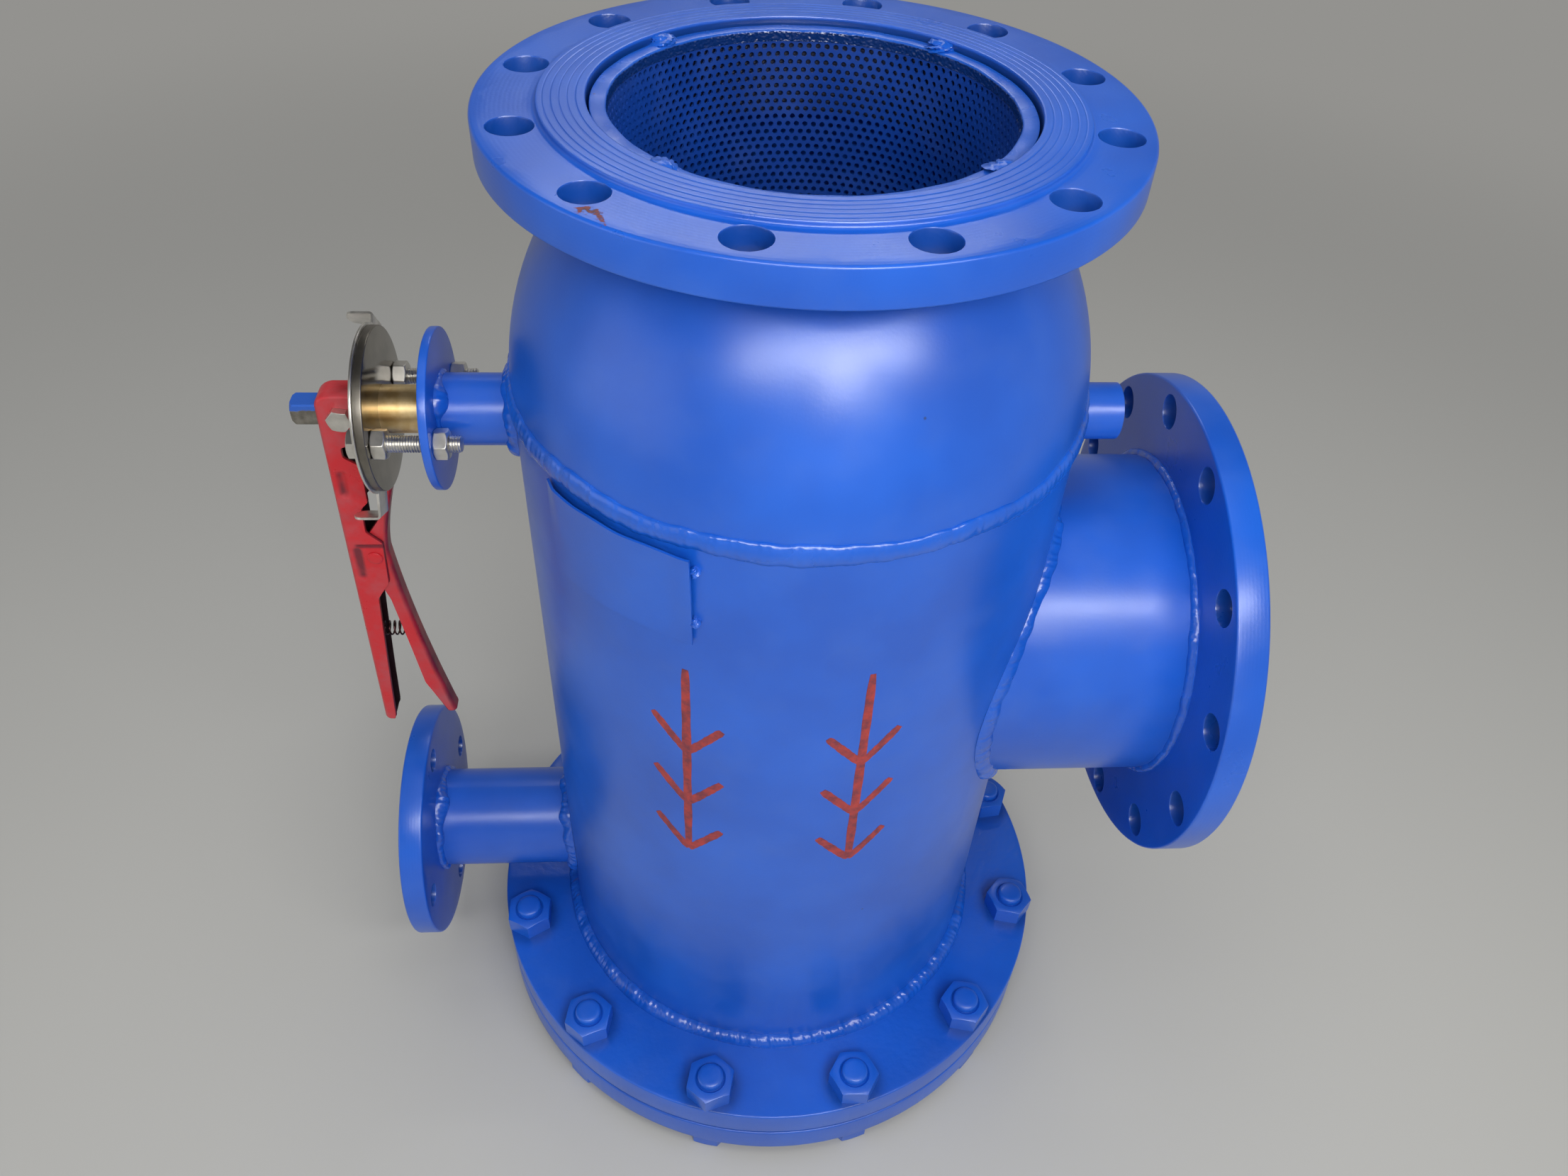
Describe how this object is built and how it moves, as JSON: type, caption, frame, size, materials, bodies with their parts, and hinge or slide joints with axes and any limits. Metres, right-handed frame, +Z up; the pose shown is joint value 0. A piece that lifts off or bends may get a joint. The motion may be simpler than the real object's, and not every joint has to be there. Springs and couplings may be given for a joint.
{
  "type": "self cleaning backwash filter",
  "caption": "Upright flanged pipeline filter with a top inlet, side outlet and drain, bolted base cover, inner screen and a lever-turned diverter plate for flushing.",
  "frame": {"origin": "centre of the inlet flange's bolting face", "axes": "+Z up out of the inlet, +X out of the outlet"},
  "size_m": [0.559, 0.445, 0.7188],
  "materials": {
    "blue_enamel": "gloss",
    "red_paint": "satin",
    "zinc_plate": "bright",
    "bare_steel": "satin",
    "spring_steel": "satin",
    "brass": "satin",
    "fibre": "matte"
  },
  "bodies": {
    "vessel": {"head": "blue_enamel", "shell": "blue_enamel", "inlet_neck": "blue_enamel", "inlet_flange": "blue_enamel", "outlet_pipe": "blue_enamel", "outlet_flange": "blue_enamel", "drain_pipe": "blue_enamel", "drain_flange": "blue_enamel", "base_flange": "blue_enamel", "base_gasket": "fibre", "blind_cover": "blue_enamel", "base_bolts": "blue_enamel", "base_nuts": "blue_enamel", "girth_weld": "blue_enamel", "nozzle_welds": "blue_enamel", "flange_welds": "blue_enamel", "nameplate_carrier": "blue_enamel", "screen_ring": "blue_enamel", "screen": "blue_enamel", "screen_seat": "blue_enamel", "valve_neck": "blue_enamel", "valve_flange": "blue_enamel", "throat_bush": "brass", "packing_rings": "fibre", "gland_bush": "brass", "clamp_disc": "bare_steel", "stop_plate": "zinc_plate", "gland_bolts": "zinc_plate", "gland_nuts": "zinc_plate", "blind_boss": "blue_enamel", "end_bush": "brass"},
    "diverter": {"shaft": "bare_steel", "diverter_plate": "bare_steel", "diverter_bolts": "zinc_plate", "diverter_nuts": "zinc_plate", "lever": "red_paint", "cross_bolt": "zinc_plate", "cross_nut": "zinc_plate", "pivot_rivet": "red_paint", "trigger_spring": "spring_steel"},
    "trigger": {"trigger": "red_paint"}
  },
  "joints": [
    {"name": "lever_turn", "type": "hinge", "parent": "vessel", "child": "diverter", "pos_m": [-0.276, 0, -0.182], "axis": [1, 0, 0], "range_deg": [0, 90]},
    {"name": "trigger_squeeze", "type": "hinge", "parent": "diverter", "child": "trigger", "pos_m": [-0.26296, 0, -0.29], "axis": [0, 1, 0], "range_deg": [0, 12], "stiffness_Nm_per_rad": 2.5, "springref_deg": -4.58, "deforming": ["trigger_spring"]}
  ]
}
